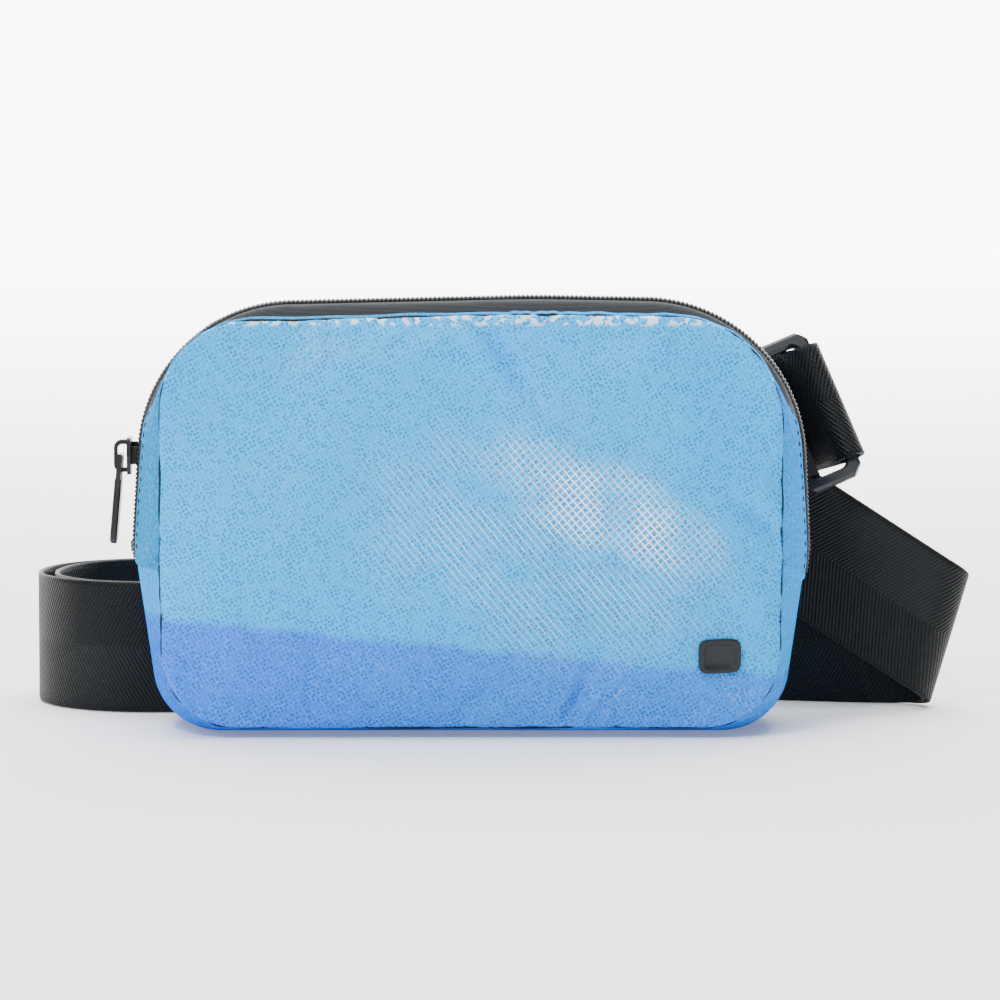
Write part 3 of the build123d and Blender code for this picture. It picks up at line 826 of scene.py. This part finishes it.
class BELTBAG_OT_zip(bpy.types.Operator):
    """Tapes and coil halves of the zip"""
    bl_idname = "beltbag.zip"
    bl_label = "Zip"

    def execute(self, context):
        for name, side in (("front", -1), ("rear", 1)):
            tape = surface(f"{name}_tape", tape_points(side, 420), "tape", flip=side > 0)
            thicken(tape, 0.45 * MM)
            coil = surface(f"{name}_coil", coil_points(side, sizes().coil_pitch), "coil",
                           loop_columns=True, flip=side < 0, capped=True)
            for piece, node, slot in ((tape, "tape", "zip_tape"), (coil, "coil", "coil")):
                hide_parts(f"{name}_zip_{node}")
                if side < 0:
                    over_mouth(piece)
                else:
                    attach(piece, "bag")
        return {"FINISHED"}


class BELTBAG_OT_gusset(bpy.types.Operator):
    """Lower gusset and the folded seams where the zip ends"""
    bl_idname = "beltbag.gusset"
    bl_label = "Lower gusset"

    def execute(self, context):
        index, _ = even_steps(END - COUNT, START, 420)
        depth = np.sin(np.linspace(-1, 1, 56) * math.pi / 2) * DEPTH
        lift = 0.25 * MM * np.ones((1, 56))
        points = gusset(index[:, None], depth[None, :], lift)
        piece = surface("lower_gusset_cloth", points, "vinyl_gusset", flip=True)
        thicken(piece, 0.5 * MM)
        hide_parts("lower_gusset")
        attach(piece, "bag")
        for name, spot, node in (("left", END, "left_zip_end_seam"), ("right", START, "right_zip_end_seam")):
            self.end_seam(name, spot, node)
        return {"FINISHED"}

    def end_seam(self, name, spot, node):
        """Folded band across the gusset: an oval section 2.4 mm wide carried from front to rear."""
        rows = 60
        depth = np.linspace(-DEPTH + 0.4 * MM, DEPTH - 0.4 * MM, rows)[:, None]
        angle = np.linspace(0, 2 * math.pi, 17)[:-1][None, :]
        step = along(CREST, np.array([spot + 0.5])) - along(CREST, np.array([spot - 0.5]))
        per_step = float(np.linalg.norm(step))
        centre = gusset(np.full((rows, 16), spot) + np.cos(angle) * 1.3 * MM / per_step,
                        np.broadcast_to(depth, (rows, 16)), 0.15 * MM + np.sin(angle) * 0.75 * MM)
        piece = surface(f"{name}_end_seam", centre, "vinyl_gusset", loop_columns=True, flip=True, capped=True)
        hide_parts(node)
        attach(piece, "bag")
        # painted shadow: a thin dark tube of thread just above the folded band, standing for the shade beside
        # it
        upwards = -1.9 * MM / per_step if spot > COUNT / 2 else 1.9 * MM / per_step
        line = gusset(np.full((rows, 16), spot + upwards) + np.cos(angle) * 0.5 * MM / per_step,
                      np.broadcast_to(depth, (rows, 16)), 0.75 * MM + np.sin(angle) * 0.3 * MM)
        shadow = surface(f"{name}_end_painted_shadow", line, "thread", loop_columns=True, flip=True, capped=True)
        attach(shadow, "bag")


# ------------------------------------------------------------------ seams and stitches


def stitch_line(name, centres, normals, length, gap, radius):
    """Row of stitches: short spindles end to end along a line, each sunk at its two ends.

    A spindle's radius is radius * sqrt(sin) of the way along it, round an axis that bows out by
    half its radius.
    """
    path = np.concatenate([[0], np.cumsum(np.linalg.norm(np.diff(centres, axis=0), axis=1))])
    count = int(path[-1] / length)
    begin = (np.arange(count) * length)[:, None]
    way = np.linspace(0, 1, 6)[None, :]
    spot = begin + gap / 2 + way * (length - gap)
    centre = np.stack([np.interp(spot, path, centres[:, k]) for k in range(3)], axis=-1)
    normal = np.stack([np.interp(spot, path, normals[:, k]) for k in range(3)], axis=-1)
    normal /= np.linalg.norm(normal, axis=-1, keepdims=True)
    ahead = np.stack([np.interp(spot + 0.2 * MM, path, centres[:, k]) for k in range(3)], axis=-1)
    tangent = ahead - centre
    tangent /= np.maximum(np.linalg.norm(tangent, axis=-1, keepdims=True), 1e-9)
    side = np.cross(tangent, normal)
    angle = np.linspace(0, 2 * math.pi, 7)[:-1]
    bow = np.sin(math.pi * way)
    size = radius * (0.25 + 0.75 * np.sqrt(np.clip(bow, 0, 1)))
    centre = centre + normal * (radius * 0.5 * bow - radius * 0.35)[..., None]
    ring = (normal[:, :, None, :] * np.cos(angle)[None, None, :, None]
            + side[:, :, None, :] * np.sin(angle)[None, None, :, None]) * size[..., None, None]
    points = centre[:, :, None, :] + ring
    stations, around = 6, 6
    base = np.arange(count * stations * around).reshape(count, stations, around)
    loop = np.concatenate([base, base[:, :, :1]], axis=2)
    quads = np.stack([loop[:, :-1, :-1], loop[:, :-1, 1:], loop[:, 1:, 1:], loop[:, 1:, :-1]], axis=-1)
    faces = quads.reshape(-1, 4).tolist()
    faces += base[:, 0, ::-1].tolist() + base[:, -1, :].tolist()
    mesh = bpy.data.meshes.new(name)
    mesh.from_pydata(points.reshape(-1, 3), [], faces)
    mesh.shade_smooth()
    piece = bpy.data.objects.new(name, mesh)
    bpy.context.scene.collection.objects.link(piece)
    mesh.materials.append(material("thread"))
    fix_normals(piece)
    return piece


def fix_normals(piece):
    """Turns every face of a closed mesh outwards."""
    work = bmesh.new()
    work.from_mesh(piece.data)
    bmesh.ops.recalc_face_normals(work, faces=work.faces)
    work.to_mesh(piece.data)
    work.free()


class BELTBAG_OT_stitches(bpy.types.Operator):
    """Topstitching beside the zip and the thread in the front seam"""
    bl_idname = "beltbag.stitches"
    bl_label = "Stitches"

    def execute(self, context):
        for name, side in (("front", -1), ("rear", 1)):
            index, _ = even_steps(START + 2, END - 2, 700)
            line = gusset(index, side * (tape_edge(index) + 2.4 * MM), np.full(700, 0.66 * MM))
            normal = outward(index)
            out = np.stack([normal[:, 0], np.full(700, side * 0.25), normal[:, 1]], axis=-1)
            piece = stitch_line(f"{name}_topstitch", line, out, sizes().stitch, 0.5 * MM, 0.62 * MM)
            if side < 0:
                over_mouth(piece)
            else:
                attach(piece, "bag")
        for name, side in (("front", -1), ("rear", 1)):
            self.seam_cord(name, side)
        return {"FINISHED"}

    def seam_cord(self, name, side):
        """Dark binding edge in the seam: a thin tube along the whole seam outline."""
        index = np.arange(0, COUNT, 1.0)
        centre = gusset(index, np.full(COUNT, side * DEPTH), np.full(COUNT, 0.05 * MM))
        normal = outward(index)
        out = np.stack([normal[:, 0], np.zeros(COUNT), normal[:, 1]], axis=-1)
        angle = np.linspace(0, 2 * math.pi, 9)[:-1][None, :]
        radius = 0.55 * MM
        ring = out[:, None, :] * (radius * np.cos(angle))[..., None]
        ring[..., 1] += radius * np.sin(angle)
        piece = surface(f"{name}_seam_binding", centre[:, None, :] + ring, "thread",
                        loop_rows=True, loop_columns=True)
        fix_normals(piece)
        if side < 0:
            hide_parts("front_binding_upper", "front_binding_lower")
            over_mouth(piece)
        else:
            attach(piece, "bag")


# ------------------------------------------------------------------ badge


class BELTBAG_OT_badge(bpy.types.Operator):
    """Plain raised badge at the lower right of the front"""
    bl_idname = "beltbag.badge"
    bl_label = "Badge"

    def execute(self, context):
        low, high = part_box("badge")
        x, z = (low.x + high.x) / 2, (low.z + high.z) / 2
        context.view_layer.update()
        panel = bpy.data.objects["front_panel"]
        tree = BVHTree.FromObject(panel, context.evaluated_depsgraph_get())
        hits = []
        for dx in (-5.4, -2.7, 0.0, 2.7, 5.4):
            for dz in (-4.2, -2.1, 0.0, 2.1, 4.2):
                hit, _, _, _ = tree.ray_cast(Vector((x + dx * MM, -0.2, z + dz * MM)), Vector((0, 1, 0)))
                hits.append(tuple(hit))
        hits = np.array(hits)
        terms = np.stack([hits[:, 0] - x, hits[:, 2] - z, np.ones(len(hits))], axis=-1)
        plane = np.linalg.lstsq(terms, hits[:, 1], rcond=None)[0]
        proud = float(np.max(terms @ plane - hits[:, 1]))
        normal = Vector((plane[0], -1, plane[1])).normalized()
        spot = (x, plane[2] - proud, z)
        points = self.lozenge(high.x - low.x, high.z - low.z)
        across = Vector((1, 0, 0)) - normal * normal.x
        across.normalize()
        up = normal.cross(across)
        frame_of = np.array([across, up, normal])
        placed = points @ frame_of + np.array(spot)
        piece = surface("badge_mark", placed, "rubber", loop_columns=True, capped=True)
        fix_normals(piece)
        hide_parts("badge")
        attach(piece, "bag")
        return {"FINISHED"}

    def lozenge(self, width, height):
        """Superellipse |x/a|^5 + |z/b|^5 = 1 carried over a raised rim and a sunk middle."""
        angle = np.linspace(0, 2 * math.pi, 97)[:-1]
        c, s = np.cos(angle), np.sin(angle)
        reach = (np.abs(c) ** 5 + np.abs(s) ** 5) ** (-1 / 5)
        scale = np.array([1.0, 1.0, 0.985, 0.95, 0.80, 0.76, 0.74, 0.30, 0.02])
        level = np.array([-1.2, 0.45, 0.72, 0.82, 0.82, 0.72, 0.42, 0.46, 0.46]) * MM
        x = scale[:, None] * (reach * c)[None, :] * width / 2
        z = scale[:, None] * (reach * s)[None, :] * height / 2
        return np.stack([x, z, np.broadcast_to(level[:, None], x.shape)], axis=-1)


# ------------------------------------------------------------------ strap

diagonal_low, diagonal_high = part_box("strap_diagonal_run")
left_low, left_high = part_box("strap_left_turn_outer")
near_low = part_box("strap_near_run")[0]
anchor_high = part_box("strap_anchor")[1]
WEB_HALF = 19.0 * MM
FOLD_R = 7.5 * MM
DIAGONAL_Y = (diagonal_low.y + diagonal_high.y) / 2
DIAGONAL_SLOPE = math.radians(33.0)
FOLD_LEAN = DIAGONAL_SLOPE / 2
UPPER_LEAN = math.radians(30.0)
TURN_SPOT = (132.0 * MM, DIAGONAL_Y, 25.9 * MM)
DIAGONAL_LENGTH = 69.0 * MM
LEFT_R = (left_high.y - left_low.y) / 2 - 0.7 * MM
FLOOR_VEER = math.radians(12.4)
VEER_R = 60 * MM
LAYER_GAP = 0.78 * MM


def bend(points, flat, place, lean, radius, turn, way, side=1):
    """Bends the ribbon round a cylinder whose axis crosses it.

    A point of the flat ribbon lies p past the line through place that leans from the width by
    lean. Its share of the turn is p / radius, held between 0 and turn. The point moves back by
    the length already bent and turns by that angle about the cylinder's axis, on the side way.
    """
    e = np.array([side * math.cos(lean), side * math.sin(lean)])
    start = np.array([place, 0.0])
    angle = np.clip(((flat - start) @ e) / radius, 0, turn)
    p = (points[..., :2] - start) @ e
    q = p - radius * angle
    h = points[..., 2] * way
    p_new = q * np.cos(angle) + (radius - h) * np.sin(angle)
    h_new = radius - (radius - h) * np.cos(angle) + q * np.sin(angle)
    moved = points.copy()
    moved[..., :2] += (p_new - p)[..., None] * e
    moved[..., 2] = h_new * way
    return moved


def ribbon_flat(first, last, thickness, offset):
    """Flat ribbon: rows along its length, and round each row a slim rounded section."""
    rows = int((last - first) / (1.0 * MM)) + 1
    s = np.linspace(first, last, rows)
    half = thickness / 2
    v = np.linspace(-1, 1, 25) * (WEB_HALF - half)
    rim = np.linspace(-math.pi / 2, math.pi / 2, 5)[1:-1]
    section_v = np.concatenate([v, WEB_HALF - half + half * np.cos(rim), v[::-1],
                                -WEB_HALF + half - half * np.cos(rim)])
    section_h = np.concatenate([np.full(25, -half), half * np.sin(rim),
                                np.full(25, half), -half * np.sin(rim)])
    points = np.empty((rows, len(section_v), 3))
    points[..., 0] = s[:, None]
    points[..., 1] = section_v[None, :]
    points[..., 2] = section_h[None, :] + offset
    uv = np.stack([np.broadcast_to(section_v[None, :], points.shape[:2]), points[..., 0]], axis=-1)
    return points, uv


def fold_strap(points, radius_left, far_length):
    """Lays the flat ribbon out as the strap lies: the bends are put in from the last to the first."""
    flat = points[..., :2].copy()
    after_fold = math.pi * FOLD_R / math.cos(FOLD_LEAN)
    veer = after_fold + 6 * MM
    left = veer + VEER_R * FLOOR_VEER + far_length
    bent = bend(points, flat, left, 0.0, radius_left, math.pi + FLOOR_VEER, -1)
    bent = bend(bent, flat, veer, 0.0, VEER_R, FLOOR_VEER, 1)
    bent = bend(bent, flat, 0.0, FOLD_LEAN, FOLD_R, math.pi, -1)
    bent = bend(bent, flat, -DIAGONAL_LENGTH, UPPER_LEAN, FOLD_R, math.pi, -1, side=-1)
    c, s = math.cos(DIAGONAL_SLOPE), math.sin(DIAGONAL_SLOPE)
    placed = np.empty_like(bent)
    placed[..., 0] = TURN_SPOT[0] + bent[..., 0] * c + bent[..., 1] * s
    placed[..., 1] = TURN_SPOT[1] - bent[..., 2]
    placed[..., 2] = TURN_SPOT[2] - bent[..., 0] * s + bent[..., 1] * c
    left_end = left + radius_left * (math.pi + FLOOR_VEER)
    rise = (near_low.z - 0.2 * MM) * smooth_step(flat[..., 0], left_end + 8 * MM, left_end + 26 * MM)
    placed[..., 2] += rise
    return placed, left, left_end


FAR_LENGTH = 202.5 * MM
UPPER_END = -DIAGONAL_LENGTH - math.pi * FOLD_R / math.cos(UPPER_LEAN) - 15 * MM


class BELTBAG_OT_strap(bpy.types.Operator):
    """The strap's two layers from the ring's side round to its sewn end"""
    bl_idname = "beltbag.strap"
    bl_label = "Strap"

    def execute(self, context):
        layer = sizes().layer
        probe = np.zeros((1, 1, 3))
        _, _, left_end = fold_strap(probe, LEFT_R, FAR_LENGTH)
        last = left_end + (anchor_high.x - left_low.x - LEFT_R - 2 * MM)
        self.make("strap_outer_layer", UPPER_END, last, layer, LAYER_GAP, LEFT_R, 0.0,
                  ("strap_diagonal_run", "strap_right_turn", "strap_upper_turn", "strap_upper_run",
                   "strap_floor_run", "strap_left_turn_outer", "strap_near_rise", "strap_near_run",
                   "strap_anchor"))
        inner_last = left_end + 16 * MM
        self.make("strap_inner_layer", UPPER_END, inner_last, layer, -LAYER_GAP, LEFT_R, 3.4 * MM,
                  ("strap_left_turn_inner",))
        return {"FINISHED"}

    def make(self, name, first, last, layer, offset, radius, slack, nodes):
        flat, uv = ribbon_flat(first, last, layer, offset)
        points, left, left_end = fold_strap(flat, radius, FAR_LENGTH)
        around = np.clip((flat[..., 0] - left) / (left_end - left), 0, 1)
        points[..., 0] += slack * np.sin(math.pi * around) ** 2
        piece = surface(name, points, "webbing", loop_columns=True, uv=uv, capped=True)
        fix_normals(piece)
        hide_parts(*nodes)
        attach(piece, "bag")
        last - first


class BELTBAG_OT_ring_strap(bpy.types.Operator):
    """Webbing turn round the ring's outer bar and the stretch that leads to it"""
    bl_idname = "beltbag.ring_strap"
    bl_label = "Strap at the ring"

    def execute(self, context):
        layer = sizes().layer
        joint = JOINTS["ring_swing"]
        bar = np.array(joint["axis"]) / np.linalg.norm(joint["axis"])
        across = np.array([-bar[2], 0, bar[0]])
        across /= np.linalg.norm(across)
        back = np.cross(across, bar)
        outer = np.array(joint["pos_m"]) + across * 14.4 * MM
        ends = []
        for offset in (LAYER_GAP, -LAYER_GAP):
            edge = np.zeros((1, 2, 3))
            edge[0, :, 0] = UPPER_END
            edge[0, :, 1] = (-WEB_HALF, WEB_HALF)
            edge[0, :, 2] = offset
            placed, _, _ = fold_strap(edge, LEFT_R, FAR_LENGTH)
            ends.append(placed[0])
        radius = 3.35 * MM
        width = np.linspace(-1, 1, 25) * 17.6 * MM
        angle = np.linspace(-math.pi / 2, math.pi / 2, 25)
        turn = (outer + (across * np.cos(angle)[:, None] + back * np.sin(angle)[:, None]) * radius)
        arc = turn[:, None, :] + bar * width[None, :, None]
        share = ((width / width[-1] + 1) / 2)[None, :, None]
        legs = []
        for end, corner in ((arc[0], ends[1]), (arc[-1], ends[0])):
            target = corner[1] + (corner[0] - corner[1]) * share[0]
            way = np.linspace(0, 1, 26)[:, None, None]
            pull = 15 * MM
            start_slope = -across * pull
            end_slope = -np.array([math.cos(math.radians(27)), 0, math.sin(math.radians(27))]) * pull
            h00, h10 = 2 * way ** 3 - 3 * way ** 2 + 1, way ** 3 - 2 * way ** 2 + way
            h01, h11 = -2 * way ** 3 + 3 * way ** 2, way ** 3 - way ** 2
            legs.append(h00 * end + h10 * start_slope + h01 * target + h11 * end_slope)
        points = np.concatenate([legs[0][:0:-1], arc, legs[1][1:]], axis=0)
        run = np.concatenate([[0], np.cumsum(np.linalg.norm(np.diff(points[:, 12], axis=0), axis=1))])
        uv = np.stack(np.broadcast_arrays(width[None, :], run[:, None]), axis=-1)
        piece = surface("strap_ring_turn", points, "webbing", uv=uv, flip=True)
        solid = thicken(piece, layer)
        solid.modifiers["thickness"].offset = 0.0
        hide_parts("strap_wrap")
        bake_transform(piece)
        return {"FINISHED"}


# ------------------------------------------------------------------ parts kept from the frame


class BELTBAG_OT_hardware(bpy.types.Operator):
    """Finishes for the slider, pull tab, ring, adjuster and the other kept parts"""
    bl_idname = "beltbag.hardware"
    bl_label = "Hardware"

    def execute(self, context):
        finishes = {
            "zip_slider": "metal", "slider_crown": "metal", "pull_tab": "metal", "zip_end_stops": "metal",
            "strap_ring": "plastic", "tri_glide": "plastic",
            "ring_tab_loop": "tab", "ring_tab_neck": "tab", "ring_tab_patch": "tab",
            "back_lining": "lining", "rear_binding": "binding",
        }
        for name, finish in finishes.items():
            part = frame["nodes"][name]
            part.data.materials.clear()
            part.data.materials.append(material(finish))
        return {"FINISHED"}


# ------------------------------------------------------------------ stage

ELEVATION = math.radians(5.3)
CAMERA_DISTANCE = 1.5
AIM = Vector((8.2 * MM, 0.0, 64.7 * MM))


class BELTBAG_OT_camera(bpy.types.Operator):
    """Camera level with the bag, a little above it"""
    bl_idname = "beltbag.camera"
    bl_label = "Camera"

    def execute(self, context):
        data = bpy.data.cameras.new("camera")
        camera = bpy.data.objects.new("camera", data)
        context.scene.collection.objects.link(camera)
        away = Vector((0, -math.cos(ELEVATION), math.sin(ELEVATION)))
        camera.location = AIM + away * CAMERA_DISTANCE
        camera.rotation_euler = (-away).to_track_quat("-Z", "Y").to_euler()
        data.sensor_width = 36.0
        view_width = 0.2835
        data.lens = 36.0 * CAMERA_DISTANCE / view_width
        data.clip_start = 0.05
        context.scene.camera = camera
        return {"FINISHED"}


class BELTBAG_OT_stage(bpy.types.Operator):
    """Pale floor, pale surroundings and soft studio light"""
    bl_idname = "beltbag.stage"
    bl_label = "Stage"

    def execute(self, context):
        edge = np.linspace(-2.9, 2.9, 9)
        x, y = np.meshgrid(edge, edge, indexing="ij")
        floor = surface("floor", np.stack([x, y, 0 * x], axis=-1), "floor", flip=True)
        fix = floor.data.polygons[0].normal.z
        if fix < 0:
            floor.data.flip_normals()
        world = bpy.data.worlds.new("surroundings")
        context.scene.world = world
        world.use_nodes = True
        background = world.node_tree.nodes["Background"]
        background.inputs["Color"].default_value = (1.0, 1.0, 1.0, 1.0)
        background.inputs["Strength"].default_value = 0.10
        self.softbox("key", (-0.45, -1.00, 1.10), (0, 0, 0.06), 0.35, 17.0)
        self.softbox("top", (0.0, 0.15, 1.3), (0, 0, 0.05), 1.3, 34.0)
        self.softbox("left", (-1.2, -0.9, 0.5), (0, 0, 0.06), 0.5, 3.0)
        low, high = np.array([-4.0, 2.9, -0.5]), np.array([4.0, 2.9, 4.0])
        x, z = np.meshgrid(np.linspace(low[0], high[0], 5), np.linspace(low[2], high[2], 5), indexing="ij")
        wall = surface("backdrop", np.stack([x, 2.9 + 0 * x, z], axis=-1), "backdrop")
        return {"FINISHED"}

    def softbox(self, name, place, target, size, power):
        data = bpy.data.lights.new(name, "AREA")
        data.size = size
        data.energy = power
        light = bpy.data.objects.new(name, data)
        light.location = place
        aim = Vector(target) - Vector(place)
        light.rotation_euler = aim.to_track_quat("-Z", "Y").to_euler()
        bpy.context.scene.collection.objects.link(light)


# ------------------------------------------------------------------ add-on

STEPS = (
    BELTBAG_OT_camera,
    BELTBAG_OT_stage,
    BELTBAG_OT_strap,
    BELTBAG_OT_ring_strap,
    BELTBAG_OT_front_panel,
    BELTBAG_OT_back_panel,
    BELTBAG_OT_gusset,
    BELTBAG_OT_zip_strips,
    BELTBAG_OT_zip,
    BELTBAG_OT_stitches,
    BELTBAG_OT_badge,
    BELTBAG_OT_hardware,
)


class BELTBAG_PT_sidebar(bpy.types.Panel):
    """Lists the pieces in the order they are made"""
    bl_label = "Belt bag"
    bl_idname = "BELTBAG_PT_sidebar"
    bl_space_type = "VIEW_3D"
    bl_region_type = "UI"
    bl_category = "Belt bag"

    def draw(self, context):
        for group in (context.scene.belt_bag_sizes, context.scene.belt_bag_colours):
            for name in group.__annotations__:
                self.layout.prop(group, name)
        for step in STEPS:
            self.layout.operator(step.bl_idname)


CLASSES = (BagSizes, BagColours) + STEPS + (BELTBAG_PT_sidebar,)


def register():
    for cls in CLASSES:
        bpy.utils.register_class(cls)
    bpy.types.Scene.belt_bag_sizes = bpy.props.PointerProperty(type=BagSizes)
    bpy.types.Scene.belt_bag_colours = bpy.props.PointerProperty(type=BagColours)


def unregister():
    del bpy.types.Scene.belt_bag_colours
    del bpy.types.Scene.belt_bag_sizes
    for cls in reversed(CLASSES):
        bpy.utils.unregister_class(cls)


def main():
    register()
    for step in STEPS:
        group, name = step.bl_idname.split(".")
        getattr(getattr(bpy.ops, group), name)()
    bpy.context.view_layer.update()


if __name__ == "__main__":
    main()
